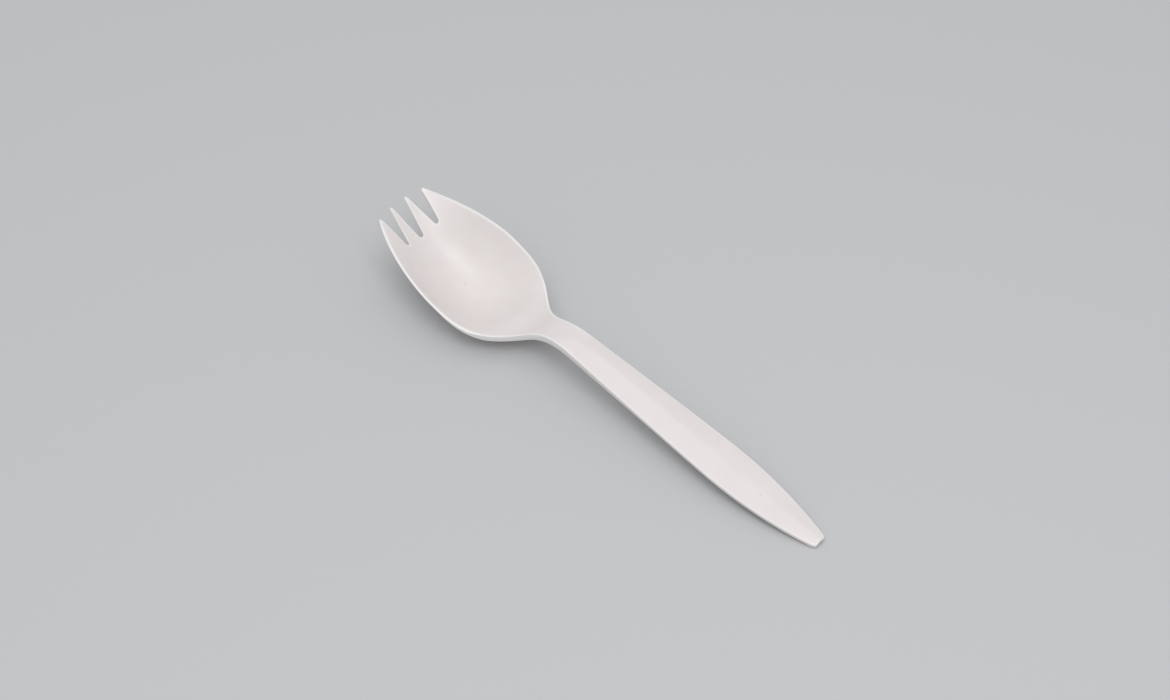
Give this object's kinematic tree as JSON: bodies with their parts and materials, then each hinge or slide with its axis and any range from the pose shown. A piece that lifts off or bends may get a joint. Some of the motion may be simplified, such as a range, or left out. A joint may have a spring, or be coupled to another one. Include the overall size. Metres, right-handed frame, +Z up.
{
  "type": "spork",
  "caption": "Disposable white plastic spork: a shallow oval bowl with short pointed tines, an arched neck and a crowned handle that tapers to a square-cut end",
  "frame": {"origin": "Middle of the bounding box's base, on the surface that the spork lies on, bowl up.", "axes": "X runs along the spork from the tines (-X) to the handle's end (+X), Y runs across it, and Z points up, out of the bowl."},
  "size_m": [0.145, 0.0316, 0.0187],
  "materials": {
    "white_plastic": "satin moulded polypropylene, faintly warm white"
  },
  "bodies": {
    "root": {"spork": "white_plastic"}
  },
  "joints": []
}
